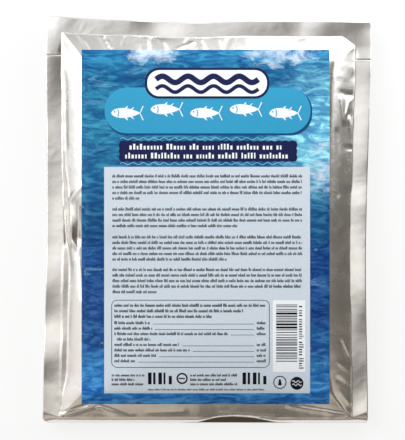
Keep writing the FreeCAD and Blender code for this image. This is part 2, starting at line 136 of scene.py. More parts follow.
# Folds of the front panel: side, then place and distance in from the seal at both ends of a straight crest,
# the crest's height at both ends and the half width of its flanks. A negative height is a groove.
FOLDS = [
    ("left", (0.30, 1.5), (0.09, 5.5), 0.6, 1.4, 3.0),
    ("left", (0.09, 5.5), (0.17, 19.0), 1.6, 0.9, 4.0),
    ("left", (0.09, 6.5), (-0.11, 9.5), 1.5, 1.8, 4.0),
    ("left", (0.07, 15.5), (-0.09, 15.0), -2.5, -6.0, 8.0),
    ("left", (-0.09, 15.0), (-0.18, 17.0), -6.0, -2.4, 7.0),
    ("left", (-0.18, 17.0), (-0.38, 20.0), -2.4, -0.6, 5.5),
    ("left", (-0.11, 9.5), (-0.17, 20.0), 1.8, 0.6, 4.0),
    ("left", (0.07, 3.0), (-0.12, 3.6), -1.2, -0.8, 2.6),
    ("left", (-0.15, 1.4), (-0.90, 1.4), 0.45, 0.5, 9.0),
    ("left", (0.72, 3.0), (0.35, 4.0), -0.8, -0.6, 3.0),
    ("right", (0.64, 12.0), (0.63, 3.5), -0.7, -1.2, 4.5),
    ("right", (0.62, 13.0), (0.50, 9.0), 0.8, 1.2, 3.5),
    ("right", (0.61, 4.0), (0.50, 9.0), 1.4, 0.6, 3.0),
    ("right", (0.52, 4.5), (0.38, 1.5), 1.6, 0.8, 2.4),
    ("right", (0.37, 2.0), (0.37, 7.5), -0.9, -0.4, 3.0),
    ("right", (0.45, 16.0), (0.30, 13.0), -0.8, -0.3, 4.0),
    ("right", (0.12, 12.0), (-0.02, 8.0), 0.6, 0.3, 3.5),
    ("right", (-0.02, 15.0), (-0.12, 8.0), -0.7, -0.3, 3.5),
    ("right", (-0.60, 10.0), (-0.68, 3.0), -0.9, -1.2, 3.0),
    ("right", (-0.70, 12.0), (-0.74, 2.0), 0.7, 0.6, 3.0),
    ("right", (-0.78, 14.0), (-0.82, 3.0), -0.9, -0.9, 3.0),
    ("right", (-0.84, 12.0), (-0.90, 3.0), 0.5, 0.5, 3.0),
    ("top", (-0.80, 0.5), (-0.74, 15.0), 0.9, 0.3, 3.0),
    ("top", (-0.665, 0.5), (-0.615, 15.0), 1.5, 0.8, 3.0),
    ("top", (-0.63, 1.0), (-0.57, 12.0), -1.0, -0.4, 3.0),
    ("top", (-0.50, 1.0), (-0.54, 14.0), -0.9, -0.3, 4.0),
    ("top", (-0.385, 0.5), (-0.375, 13.0), 1.6, 0.9, 2.6),
    ("top", (-0.35, 1.0), (-0.34, 10.0), -1.1, -0.4, 2.6),
    ("top", (-0.30, 0.5), (-0.27, 12.0), 1.3, 0.6, 2.8),
    ("top", (-0.20, 12.0), (-0.10, 5.0), 1.0, 0.9, 3.2),
    ("top", (-0.12, 1.0), (-0.15, 12.0), -1.0, -0.3, 3.0),
    ("top", (-0.06, 0.5), (-0.03, 12.0), 1.2, 0.5, 2.8),
    ("top", (0.04, 1.0), (0.08, 13.0), 1.0, 0.4, 2.8),
    ("top", (0.13, 1.0), (0.10, 12.0), -0.8, -0.3, 3.2),
    ("bottom", (-0.87, 1.5), (-0.66, 12.0), 0.8, 1.3, 3.4),
    ("bottom", (-0.88, 5.0), (-0.72, 12.5), -1.0, -1.4, 2.6),
    ("bottom", (-0.66, 10.0), (-0.57, 4.0), -2.2, -1.0, 4.5),
    ("bottom", (-0.60, 12.0), (-0.45, 3.0), 0.9, 0.7, 4.0),
    ("bottom", (-0.35, 5.0), (-0.13, 6.0), 0.5, 0.8, 5.0),
    ("bottom", (0.10, 5.0), (0.42, 1.5), 0.4, 0.6, 2.0),
    ("bottom", (0.52, 11.0), (0.86, 3.0), -1.4, -1.0, 4.0),
    ("bottom", (0.60, 13.0), (0.90, 4.5), 1.1, 0.9, 5.0),
]

# ---------------------------------------------------------------- form of the panels


def ease(t):
    t = np.clip(t, 0, 1)
    return t * t * (3 - 2 * t)


def bulge(t, curve=2.2):
    """Rise from 0 that levels off at 1."""
    return 1 - (1 - np.clip(t, 0, 1)) ** curve


def along(knots, place):
    """Value at places along an edge, eased from knot to knot."""
    value = np.full_like(place, knots[-1][1])
    for (start, first), (end, last) in reversed(list(zip(knots, knots[1:]))):
        value = np.where(place <= end, first + (last - first) * ease((place - start) / (end - start)), value)
    return value


def seal_depths(u, v):
    """Distances in from the inner edge of each seal; negative on the seal itself."""
    return {
        "left": HALF_W - SEAL + u,
        "right": HALF_W - SEAL - u,
        "top": HALF_L - SEAL - v,
        "bottom": HALF_L - FOOT_RUN + v,
    }


def nearest_depth(u, v):
    return np.minimum.reduce(list(seal_depths(u, v).values()))


def mitre(a, b):
    """The lower of two shares, with the edge where they meet rounded off."""
    middle = (a + b) / 2
    reach = 0.5 * middle * (1 - middle) + 1e-6
    overlap = np.maximum(reach - np.abs(a - b), 0) / reach
    return np.minimum(a, b) - overlap * overlap * reach / 4


def front_share(u, v):
    """Share of the way from the seal up to the full height that the front panel has climbed."""
    runs = {"left": SIDE_WALL, "right": SIDE_WALL, "top": TOP_WALL, "bottom": BOTTOM_WALL}
    height = np.ones_like(u)
    for side, depth in seal_depths(u, v).items():
        upright = side in ("left", "right")
        place = v / HALF_L if upright else u / HALF_W
        to_middle = HALF_W if upright else HALF_L
        share = along(STEEP_SHARE[side], place)
        shelf = along(SHELF[side], place)
        height = mitre(height, share * bulge((depth - shelf) / (runs[side] - shelf), WALL_CURVE)
                       + (1 - share) * bulge((depth - shelf) / (SLOW_RUN[side] * to_middle)))
    down, across = CHAMFER
    cut = ((HALF_L - SEAL - v) * across + (HALF_W - SEAL - u) * down - down * across) / math.hypot(*CHAMFER)
    return np.maximum(mitre(height, bulge(cut / TOP_WALL, WALL_CURVE)), 0)


def back_share(u, v):
    """Share of the way from the seal down to the floor that the back panel has sunk."""
    down = np.ones_like(u)
    for depth in seal_depths(u, v).values():
        down = mitre(down, bulge(depth / BACK_WALL))
    return np.maximum(down, 0)


def seal_height(u, v):
    """Height of the surface in the middle between both panels, which is the seal itself at the edges."""
    height = SEAL_LEVEL
    height = height + along(RIM_WAVES["left"], v / HALF_L) * (1 - ease((HALF_W + u) / RIM_FADE))
    height = height + along(RIM_WAVES["right"], v / HALF_L) * (1 - ease((HALF_W - u) / RIM_FADE))
    height = height + along(RIM_WAVES["top"], u / HALF_W) * (1 - ease((HALF_L - v) / RIM_FADE))
    height = height - along(FOOT_SINK, u / HALF_W) * (1 - ease((HALF_L - FOOT_RUN + v) / FOOT_SINK_RUN))
    outward = np.clip((np.abs(u) - HALF_W + SEAL) / SEAL, 0, 1)
    run = FOOT_RUN + CORNER_RISE * outward
    beyond = np.clip((run - HALF_L - v) / run, 0, 1)
    dropped = (1 - np.sqrt(1 - (FOOT_ROLL * beyond) ** 2)) / (1 - math.sqrt(1 - FOOT_ROLL**2))
    level = FOOT_LEVEL + (CORNER_LEVEL - FOOT_LEVEL) * outward
    height = height + (level - height) * dropped
    from_foot = HALF_L + v
    off = u / HALF_W - ARCH_PLACE
    arch = ARCH_HEIGHT * (1 - (off / np.where(off < 0, *ARCH_REACH)) ** 2)
    hollow = ease((arch - from_foot) / ARCH_DROP)
    return height + (FOOT_LEVEL + ARCH_SLOPE * from_foot - height) * hollow


def fold_point(side, place, inward):
    """A point at a place along an edge and so far in from that edge's seal."""
    across = HALF_W - SEAL - inward
    if side == "left":
        return -across, place * HALF_L
    if side == "right":
        return across, place * HALF_L
    if side == "top":
        return place * HALF_W, HALF_L - SEAL - inward
    return place * HALF_W, -HALF_L + FOOT_RUN + inward


def crest(u, v, start, end, start_height, end_height, flank):
    """A straight sharp crest whose flanks run out softly, or a groove where its height is negative."""
    run_u, run_v = end[0] - start[0], end[1] - start[1]
    place = np.clip(((u - start[0]) * run_u + (v - start[1]) * run_v) / (run_u**2 + run_v**2), 0, 1)
    away = np.hypot(u - start[0] - place * run_u, v - start[1] - place * run_v)
    return (start_height + (end_height - start_height) * place) * np.maximum(0, 1 - away / flank) ** 1.5


def fold_height(u, v):
    """The highest crest and the deepest groove at each place, together."""
    crests, grooves = np.zeros_like(u), np.zeros_like(u)
    for side, start, end, *shape in FOLDS:
        height = crest(u, v, fold_point(side, *start), fold_point(side, *end), *shape)
        crests, grooves = np.maximum(crests, height), np.minimum(grooves, height)
    return crests + grooves


def wander(place, reach, seed):
    """A smooth uneven line: sines of many lengths along a place in millimetres."""
    phases = np.random.default_rng(seed).uniform(0, 2 * math.pi, 7)
    total = np.zeros_like(place)
    for k, phase in enumerate(phases):
        total = total + np.sin(place / (27.0 / 1.55**k) + phase) / 1.25**k
    return total * reach / 2.2


def plan(u, v):
    """Where points of the flat panels lie, seen from above, once the filled pouch has drawn them in."""
    across, upward = u / HALF_W, v / HALF_L
    near_side = ease(1 - np.abs(HALF_W - SEAL - np.abs(u)) / 9)
    near_top = ease(1 - np.abs(HALF_L - SEAL - v) / 9)
    u = u + near_side * np.where(u < 0, wander(v, 0.55, 3), wander(v, 0.55, 5))
    v = v + near_top * wander(u, 0.5, 8)
    pull = np.where(u < 0, along(EDGE_PULL["left"], upward), along(EDGE_PULL["right"], upward))
    x = u - pull * across
    y = v - RIGHT_SHORT * upward * (1 + across) / 2
    y = y - along(EDGE_PULL["top"], across) * np.maximum(upward, 0) ** 2
    return x, y


def front_lift(u, v):
    """Height of the front panel over the middle surface: the filling and the folds."""
    share = front_share(u, v)
    inside = nearest_depth(u, v) > 0
    seal = seal_height(u, v)
    lift = (HEIGHT - seal) * share + fold_height(u, v) * ease(nearest_depth(u, v) / FOLD_START)
    return np.where(inside, lift, 0.0)


def front_height_over(x, y):
    """Height of the front panel over places seen from above, inside the seals."""
    u, v = x.copy(), y.copy()
    for _ in range(6):
        there_x, there_y = plan(u, v)
        u, v = u + x - there_x, v + y - there_y
    return seal_height(u, v) + FILM + front_lift(u, v)


def round_corners(u, v):
    """Draws the square corners of the panels in to their die-cut arcs."""
    for side in (-1, 1):
        radius = LEFT_RADIUS if side < 0 else RIGHT_RADIUS
        for end in (-1, 1):
            a = (side * u - (HALF_W - radius)) / radius
            b = (end * v - (HALF_L - radius)) / radius
            corner = (a > 0) & (b > 0)
            a, b = np.where(corner, a, 0), np.where(corner, b, 0)
            arc_u = side * (HALF_W - radius + radius * a * np.sqrt(1 - b * b / 2))
            arc_v = end * (HALF_L - radius + radius * b * np.sqrt(1 - a * a / 2))
            u, v = np.where(corner, arc_u, u), np.where(corner, arc_v, v)
    return u, v


# ---------------------------------------------------------------- meshes


def mesh_object(name, vertices, faces, material, smooth=True):
    """A mesh object from vertices in millimetres."""
    mesh = bpy.data.meshes.new(name)
    mesh.from_pydata((np.asarray(vertices) * MM).tolist(), [], faces)
    mesh.validate()
    mesh.update()
    piece = bpy.data.objects.new(name, mesh)
    bpy.context.scene.collection.objects.link(piece)
    if smooth:
        mesh.polygons.foreach_set("use_smooth", [True] * len(mesh.polygons))
    mesh.materials.append(material)
    return piece


def graded(stretches):
    """Grid lines through stretches of (start, end, spacing)."""
    lines = [stretches[0][0]]
    for start, end, spacing in stretches:
        count = max(1, round((end - start) / spacing))
        lines += [start + (end - start) * i / count for i in range(1, count + 1)]
    return np.array(lines)


def pouch_grid():
    """Grid lines of the film: fine over seals and walls, wider under the label."""
    inner = HALF_W - SEAL
    wall = inner - SIDE_WALL - 3
    across = graded([(-HALF_W, -inner, 0.9), (-inner, -wall, 0.9), (-wall, wall, 2.4),
                     (wall, inner, 0.9), (inner, HALF_W, 0.9)])
    foot = -HALF_L + FOOT_RUN
    head = HALF_L - SEAL
    slit = HALF_L - SLIT_FROM_TOP
    up = graded([(-HALF_L, foot, 0.6), (foot, foot + 18, 0.75), (foot + 18, slit - 4, 2.2),
                 (slit - 4, slit, 1.0), (slit, slit + SLIT_GAP, SLIT_GAP),
                 (slit + SLIT_GAP, head, 1.0), (head, HALF_L, 0.9)])
    return across, up, slit


def pouch_mesh(material):
    """The whole film envelope: front and back panel, the cut edge of the seal and the tear slits."""
    across, up, slit = pouch_grid()
    grid_u, grid_v = np.meshgrid(across, up, indexing="ij")
    u, v = round_corners(grid_u, grid_v)
    x, y = plan(u, v)
    middle = seal_height(u, v)
    # the film above each slit stands a little higher at its edge, which opens the slit
    above_slit = v - slit - SLIT_GAP / 2
    near_edge = ease((np.abs(u) - (HALF_W - SLIT_DEPTH - 1)) / 4)
    middle = middle + SLIT_LIFT * near_edge * (1 - ease(above_slit / SLIT_LIFT_RUN)) * (above_slit > 0)

    slope_x = np.gradient(middle, axis=0) / np.gradient(x, axis=0)
    slope_y = np.gradient(middle, axis=1) / np.gradient(y, axis=1)
    length = np.sqrt(slope_x**2 + slope_y**2 + 1)
    normal = np.stack([-slope_x / length, -slope_y / length, 1 / length], axis=-1)
    centre = np.stack([x, y, middle], axis=-1)
    front = centre + normal * FILM
    back = centre - normal * FILM
    front[..., 2] += front_lift(u, v)
    inside = nearest_depth(u, v) > 0
    back[..., 2] = np.where(inside, back[..., 2] * (1 - back_share(u, v)), back[..., 2])

    columns, rows = u.shape
    slit_row = int(np.argmin(np.abs(up - slit)))
    slit_columns = np.abs((across[1:] + across[:-1]) / 2) > HALF_W - SLIT_DEPTH
    shift = columns * rows
    faces, lone = [], {}
    for i in range(columns - 1):
        for j in range(rows - 1):
            if j == slit_row and slit_columns[i]:
                continue
            a = i * rows + j
            b, c, d = a + rows, a + rows + 1, a + 1
            faces += [(a, b, c, d), (d + shift, c + shift, b + shift, a + shift)]
            for edge in ((a, b), (b, c), (c, d), (d, a)):
                if lone.pop(edge[::-1], None) is None:
                    lone[edge] = True
    # the edges that only one face has bound the film: its outline and the lips of the slits
    faces += [(b, a, a + shift, b + shift) for a, b in lone]
    vertices = np.concatenate([front.reshape(-1, 3), back.reshape(-1, 3)])
    return mesh_object("pouch_film", vertices, faces, material)


# ---------------------------------------------------------------- materials


class Graph:
    """Adds nodes to a node tree. The values given to them are plain ones or outputs of other nodes."""

    def __init__(self, tree):
        self.nodes, self.links = tree.nodes, tree.links
        self.coordinates = self.nodes.new("ShaderNodeTexCoord").outputs

    def feed(self, socket, value):
        if hasattr(value, "is_output"):
            self.links.new(value, socket)
        else:
            socket.default_value = value

    def fill(self, node, **inputs):
        """Feeds inputs by their names, with an underscore for each space."""
        for name, value in inputs.items():
            self.feed(node.inputs[name.replace("_", " ")], value)
        return node

    def add(self, kind, **inputs):
        return self.fill(self.nodes.new("ShaderNode" + kind), **inputs)

    def combine(self, kind, operation, values):
        node = self.add(kind)
        node.operation = operation
        for socket, value in zip(node.inputs, values):
            self.feed(socket, value)
        return node

    def math(self, operation, *values, clamp=False):
        node = self.combine("Math", operation, values)
        node.use_clamp = clamp
        return node.outputs[0]

    def vector(self, operation, *values):
        return self.combine("VectorMath", operation, values).outputs

    def place(self):
        """X, Y and Z in the object's own coordinates, in metres."""
        return self.add("SeparateXYZ", Vector=self.coordinates["Object"]).outputs

    def noise(self, scale, detail, roughness=0.5, distortion=0.0, vector=None):
        vector = self.coordinates["Object"] if vector is None else vector
        return self.add("TexNoise", Vector=vector, Scale=scale, Detail=detail, Roughness=roughness,
                        Distortion=distortion).outputs["Fac"]

    def spread(self, value, low, high, start=0.0, end=1.0):
        """Maps a value between start and end to one between low and high."""
        return self.add("MapRange", Value=value, From_Min=start, From_Max=end, To_Min=low,
                        To_Max=high).outputs["Result"]

    def ramp(self, factor, stops):
        """A colour that runs through stops of (place, colour) as the factor grows from 0 to 1."""
        node = self.add("ValToRGB", Fac=factor)
        elements = node.color_ramp.elements
        while len(elements) < len(stops):
            elements.new(0.5)
        for element, (place, colour) in zip(elements, stops):
            element.position = place
            element.color = (*colour, 1)
        return node.outputs["Color"]

    def mixed(self, factor, first, second, blend="MIX"):
        """The first colour with so much of the second one mixed or multiplied into it."""
        node = self.add("Mix")
        node.data_type = "RGBA"
        node.blend_type = blend
        colours = [socket for socket in node.inputs if socket.type == "RGBA"]
        for socket, value in zip((node.inputs[0], *colours), (factor, first, second)):
            self.feed(socket, value)
        return next(socket for socket in node.outputs if socket.type == "RGBA")


def new_material(name):
    material = bpy.data.materials.new(name)
    material.use_nodes = True
    return material, Graph(material.node_tree), material.node_tree.nodes["Principled BSDF"]


def foil_material():
    """Lacquered aluminium laminate: satin metal, a little warmer to the foot, crinkled where it is slack.

    Inside the gape of the bottom seal it has painted shade: a darker colour stands in for the shade of the
    folded film there, and it is also duller there.
    """
    material, graph, shader = new_material("foil_laminate")
    x, y, z = graph.place()
    warmth = graph.math("ADD", graph.spread(y, 0.0, 0.8, -0.2, 0.2),
                        graph.spread(graph.noise(14, 3), 0.0, 0.2))
    tint = graph.ramp(warmth, [(0.0, (0.90, 0.852, 0.785)), (1.0, (0.895, 0.885, 0.868))])
    # where the gape lies, which gets painted shade: below 3.6 to 5.6 mm, and within 44 to 56 mm of the
    # middle of its arch
    arch_middle = (ARCH_PLACE + (ARCH_REACH[1] - ARCH_REACH[0]) / 2) * HALF_W * MM
    off = graph.math("ABSOLUTE", graph.math("SUBTRACT", x, arch_middle))
    painted_shade_gape_mask = graph.math("MULTIPLY", graph.spread(z, 1.0, 0.0, 0.0036, 0.0056),
                      graph.spread(off, 1.0, 0.0, 0.044, 0.056))
    grain = graph.spread(graph.noise(55, 4), 0.19, 0.33)
    # painted shade: inside the gape the base colour is mixed towards a dark brown, and the roughness rises
    # there too
    graph.fill(shader, Metallic=1.0, Base_Color=graph.mixed(painted_shade_gape_mask, tint, (0.17, 0.145, 0.115, 1)),
               Roughness=graph.math("MULTIPLY_ADD", painted_shade_gape_mask, 0.25, grain))

    # shallow crinkles: cells of creased film, broken up by a softer noise
    warp = graph.add("TexNoise", Vector=graph.coordinates["Object"], Scale=30, Detail=2).outputs["Color"]
    bend = graph.vector("MULTIPLY_ADD", warp, (0.012, 0.012, 0.012), graph.coordinates["Object"])["Vector"]
    cells = graph.add("TexVoronoi")
    cells.feature = "SMOOTH_F1"
    graph.fill(cells, Vector=bend, Scale=95, Smoothness=0.35)
    slack = graph.spread(graph.noise(22, 2), 0.0, 1.0, 0.42, 0.68)
    crinkle = graph.add("Bump", Strength=0.22, Distance=0.0011,
                        Height=graph.math("MULTIPLY", cells.outputs["Distance"], slack))
    ripple = graph.add("Bump", Strength=0.16, Distance=0.0012, Height=graph.noise(70, 2),
                       Normal=crinkle.outputs["Normal"])
    graph.fill(shader, Normal=ripple.outputs["Normal"])
    return material


# ---------------------------------------------------------------- label

# Heights over the front panel between which each layer of the print lies.
PAPER = (0.04, LABEL_THICK)
SHADE = (0.26, 0.33)
FIELD = (0.29, 0.37)
PLATE = (0.33, 0.42)
INK = (0.38, 0.47)
DEEP_INK = (0.43, 0.52)
INK_SPECULAR = 0.12     # the print's mirroring at its surface


def label_point(s, t):
    """Label coordinates, in millimetres along its bottom and left edges from its middle, to the frame."""
    middle_x = (LABEL_LEFT + LABEL_RIGHT) / 2
    middle_y = (LABEL_BOTTOM + LABEL_TOP) / 2
    x, y = s + middle_x, t + middle_y
    return (x * math.cos(LABEL_TURN) - y * math.sin(LABEL_TURN),
            x * math.sin(LABEL_TURN) + y * math.cos(LABEL_TURN))


def patch_faces(columns, rows, closed):
    """Faces of a thin closed sheet over a grid of points: the lower copy of the grid, then the upper."""
    shift = columns * rows
    faces = []
    for i in range(columns if closed else columns - 1):
        here, there = i * rows, (i + 1) % columns * rows
        for j in range(rows - 1):
            a, b, c, d = here + j, there + j, there + j + 1, here + j + 1
            faces.append((a + shift, b + shift, c + shift, d + shift))
            faces.append((d, c, b, a))
        faces.append((here, there, there + shift, here + shift))
        last = rows - 1
        faces.append((there + last, here + last, here + last + shift, there + last + shift))
    if not closed:
        end = (columns - 1) * rows
        for j in range(rows - 1):
            faces.append((j + 1, j, j + shift, j + 1 + shift))
            faces.append((end + j, end + j + 1, end + j + 1 + shift, end + j + shift))
    return faces


def printed(name, patches, layer, material):
    """One piece of the print: thin sheets over patches of label coordinates, laid on the front panel."""
    low, high = layer
    flat_s = np.concatenate([np.ravel(patch[0]) for patch in patches])
    flat_t = np.concatenate([np.ravel(patch[1]) for patch in patches])
    x, y = label_point(flat_s, flat_t)
    base = front_height_over(x, y)
    vertices, faces, start = [], [], 0
    for patch in patches:
        s, closed = patch[0], len(patch) > 2
        count = s.size
        chosen = slice(start, start + count)
        offset = 2 * start
        for height in (low, high):
            vertices.append(np.stack([x[chosen], y[chosen], base[chosen] + height], axis=-1))
        grid = np.stack([np.ravel(patch[0]), np.ravel(patch[1])], axis=-1).reshape(*s.shape, 2)
        first, second = grid[1, 0] - grid[0, 0], grid[0, 1] - grid[0, 0]
        upright = first[0] * second[1] - first[1] * second[0] > 0
        for face in patch_faces(*s.shape, closed):
            face = tuple(offset + k for k in face)
            faces.append(face if upright else face[::-1])
        start += count
    piece = mesh_object(name, np.concatenate(vertices), faces, material, smooth=False)
    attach(piece, "root")
    return piece


def strip(s, lower, upper, rows=2):
    """Patch between two curves over the same places."""
    share = np.linspace(0, 1, rows)
    grid_s = np.repeat(np.asarray(s, float)[:, None], rows, axis=1)
    grid_t = lower[:, None] + (upper - lower)[:, None] * share
    return grid_s, grid_t


def box(s0, s1, t0, t1, step=4.0):
    """A rectangle, in steps short enough to follow the curved panel."""
    columns = max(2, int(abs(s1 - s0) / step) + 2)
    rows = max(2, int(abs(t1 - t0) / step) + 2)
    s = np.linspace(s0, s1, columns)
    return strip(s, np.full(columns, float(t0)), np.full(columns, float(t1)), rows)


def rounded(s0, s1, t0, t1, radius, step=4.0):
    """A rectangle with round corners."""
    turn = np.radians(np.linspace(4, 90, 10))
    corner = radius * (1 - np.cos(turn))
    straight = np.linspace(s0 + radius, s1 - radius, max(2, int((s1 - s0 - 2 * radius) / step) + 2))
    s = np.concatenate([s0 + corner[:-1], straight, (s1 - corner[:-1])[::-1]])
    away = np.maximum(np.maximum(s0 + radius - s, s - s1 + radius), 0)
    inset = radius - np.sqrt(np.maximum(radius**2 - away**2, 0))
    inset = np.minimum(inset, (t1 - t0) / 2 - 0.1)
    return strip(s, t0 + inset, t1 - inset, max(2, int((t1 - t0) / step) + 2))


def ribbon(s, t, width, closed=False):
    """A line of even width along points."""
    s, t = np.asarray(s, float), np.asarray(t, float)
    if closed:
        step_s, step_t = np.roll(s, -1) - np.roll(s, 1), np.roll(t, -1) - np.roll(t, 1)
    else:
        step_s, step_t = np.gradient(s), np.gradient(t)
    length = np.hypot(step_s, step_t)
    side_s, side_t = -step_t / length * width / 2, step_s / length * width / 2
    patch = (np.stack([s - side_s, s + side_s], axis=1), np.stack([t - side_t, t + side_t], axis=1))
    return (*patch, "closed") if closed else patch


def frame_line(s0, s1, t0, t1, radius, width):
    """Outline of a rectangle with round corners."""
    s, t = [], []
    for middle_s, middle_t, start in ((s1 - radius, t1 - radius, 0), (s0 + radius, t1 - radius, 90),
                                      (s0 + radius, t0 + radius, 180), (s1 - radius, t0 + radius, 270)):
        for turn in np.radians(np.linspace(start, start + 90, 7)):
            s.append(middle_s + radius * math.cos(turn))
            t.append(middle_t + radius * math.sin(turn))
    around_s, around_t = [], []
    for k, (here_s, here_t) in enumerate(zip(s, t)):
        there_s, there_t = s[(k + 1) % len(s)], t[(k + 1) % len(t)]
        pieces = max(1, int(math.hypot(there_s - here_s, there_t - here_t) / 3))
        for piece in range(pieces):
            around_s.append(here_s + (there_s - here_s) * piece / pieces)
            around_t.append(here_t + (there_t - here_t) * piece / pieces)
    return ribbon(around_s, around_t, width, closed=True)


def disc(middle_s, middle_t, radius):
    turn = np.radians(np.linspace(6, 174, 15))
    s = middle_s - radius * np.cos(turn)
    rise = radius * np.sin(turn)
    return strip(s, middle_t - rise, middle_t + rise, 3)


def ring(middle_s, middle_t, radius, width):
    turn = np.linspace(0, 2 * math.pi, 28, endpoint=False)
    return ribbon(middle_s + radius * np.cos(turn), middle_t + radius * np.sin(turn), width, closed=True)


def quad(a, b, c, d):
    return (np.array([[a[0], d[0]], [b[0], c[0]]], float), np.array([[a[1], d[1]], [b[1], c[1]]], float))


def marks(start, end, middle, height, width, fill=0.62, upright=False):
    """A row of short strokes in groups, as small print looks from a distance."""
    strokes = []
    place = start
    while place < end - width:
        group = int(rng.integers(2, 11))
        for _ in range(group):
            if place > end - width:
                break
            thick = width * rng.uniform(0.75, 1.3)
            low = middle - height / 2
            high = middle + height * rng.choice([0.16, 0.16, 0.2, 0.5])
            if upright:
                strokes.append(box(low, high, place, place + thick, 99))
            else:
                strokes.append(box(place, place + thick, low, high, 99))
            place += thick + width * (1 / fill - 1)
        place += 1.6 * width
    return strokes


def fish(middle_s, middle_t, length, height):
    """Side view of a tuna, nose to the left: body, crescent tail and swept fins."""
    x = np.linspace(0.012, 1, 22)
    profile = x**0.62 * (1 - x) ** 0.95
    profile = profile / profile.max() * 0.5 + 0.045 * np.minimum(x * 8, 1)
    s = middle_s - length / 2 + x * length * 0.88
    body = strip(s, middle_t - height * 0.62 * profile, middle_t + height * 0.66 * profile, 3)

    def at(along_body, up):
        return middle_s - length / 2 + along_body * length, middle_t + up * height

    parts = [body]
    lobe = ((0.87, 0.0), (0.90, 0.02), (1.0, 0.50), (0.965, 0.50))
    front_fin = ((0.36, 0.26), (0.47, 0.25), (0.52, 0.50), (0.50, 0.50))
    back_fin = ((0.55, 0.20), (0.62, 0.17), (0.71, 0.42), (0.69, 0.42))
    for way in (1, -1):
        for form in (lobe, front_fin, back_fin):
            parts.append(quad(*(at(place, up * way) for place, up in form)))
    return parts


def srgb(*channels):
    """Linear values of a colour given in 0 to 255."""
    return tuple((c / 255 / 12.92) if c <= 10 else ((c / 255 + 0.055) / 1.055) ** 2.4 for c in channels)


def print_material(name, colour, roughness=0.42):
    """Flexographic ink: an even colour with a faint mottle and a slightly uneven gloss."""
    material, graph, shader = new_material(name)
    mottle = graph.noise(900, 3)
    tint = graph.ramp(mottle, [(0.35, [c * 0.95 for c in colour]),
                               (0.65, [min(c * 1.04 + 0.002, 1) for c in colour])])
    graph.fill(shader, Base_Color=tint, Roughness=graph.spread(mottle, roughness - 0.05, roughness + 0.08),
               Specular_IOR_Level=INK_SPECULAR)
    return material


def water_material():
    """Printed open water: a bright swell above, deep blue below, with ripples and foam."""
    material, graph, shader = new_material("label_water")
    math_node, mixed, ramp = graph.math, graph.mixed, graph.ramp
    x, y, _ = graph.place()

    def drawn_out(scale, stretch, turn, detail, distortion=0.0, roughness=0.5, offset=0.0):
        """Noise stretched along a line turned by so many degrees."""
        mapping = graph.add("Mapping", Vector=graph.coordinates["Object"], Scale=(1 / stretch, 1, 1),
                            Rotation=(0, 0, math.radians(turn)), Location=(offset, offset, 0))
        return graph.noise(scale, detail, roughness, distortion, mapping.outputs["Vector"])

    def pool(middle_x, middle_y, reach_x, reach_y):
        """A soft round patch, 1 at its middle and 0 beyond its reach, in millimetres."""
        across = math_node("MULTIPLY_ADD", x, 1 / (reach_x * MM), -middle_x / reach_x)
        upward = math_node("MULTIPLY_ADD", y, 1 / (reach_y * MM), -middle_y / reach_y)
        away = math_node("ADD", math_node("MULTIPLY", across, across), math_node("MULTIPLY", upward, upward))
        return math_node("SUBTRACT", 1.0, away, clamp=True)

    swell = drawn_out(9, 2.6, 14, 3, 1.4)
    up = math_node("MULTIPLY_ADD", y, 1 / (HALF_L * 2 * MM), 0.5)
    up = math_node("MULTIPLY_ADD", math_node("SUBTRACT", swell, 0.5), 0.22, up, clamp=True)
    sea = ramp(up, [
        (0.05, srgb(54, 130, 202)), (0.15, srgb(50, 120, 180)), (0.26, srgb(32, 76, 136)),
        (0.40, srgb(28, 76, 138)), (0.50, srgb(28, 88, 134)), (0.60, srgb(36, 104, 150)),
        (0.70, srgb(42, 124, 164)), (0.84, srgb(30, 108, 152)), (0.95, srgb(34, 114, 164))])
    glow = math_node("MULTIPLY", pool(108, 86, 58, 72), 0.9)
    sea = mixed(glow, sea, (*srgb(128, 208, 234), 1))
    # broad dark and light facets of the swell, then the fine ripples on them
    facets = ramp(drawn_out(38, 2.0, 22, 5, 2.2, 0.62, 3.0), [
        (0.32, (0.42, 0.56, 0.72)), (0.47, (0.88, 0.93, 0.97)), (0.58, (1.0, 1.0, 1.0)),
        (0.74, (1.7, 1.4, 1.22))])
    sea = mixed(0.9, sea, facets, "MULTIPLY")
    ripple = ramp(drawn_out(150, 3.4, 17, 4, 1.2, 0.62, 7.0), [
        (0.40, (0.36, 0.52, 0.72)), (0.50, (0.94, 0.97, 1)), (0.62, (2.5, 1.8, 1.42))])
    sea = mixed(0.85, sea, ripple, "MULTIPLY")
    streaks = math_node("SUBTRACT", drawn_out(85, 6.0, 20, 4, 1.0, 0.7, 11.0), 0.60)
    streaks = math_node("MULTIPLY", streaks, 5.0, clamp=True)
    sea = mixed(math_node("MULTIPLY", streaks, 0.8), sea, (*srgb(130, 194, 226), 1))
    # foam where the swell breaks
    fine = drawn_out(75, 1.3, 0, 6, 0.4, 0.72, 2.0)
    breaking = math_node("MAXIMUM", pool(70, 165, 52, 26), pool(-52, 160, 36, 15))
    breaking = math_node("MAXIMUM", breaking, math_node("MULTIPLY", pool(112, 52, 28, 34), 0.85))
    foam = math_node("MULTIPLY_ADD", fine, 1.6, math_node("MULTIPLY_ADD", swell, 0.5, -1.28))
    foam = math_node("MULTIPLY", math_node("MULTIPLY_ADD", breaking, 0.52, foam), 2.6, clamp=True)
    sea = mixed(math_node("MULTIPLY", foam, 0.9), sea, (*srgb(206, 222, 238), 1))
    graph.fill(shader, Base_Color=sea, Roughness=graph.spread(fine, 0.34, 0.50),
               Specular_IOR_Level=INK_SPECULAR)
    return material


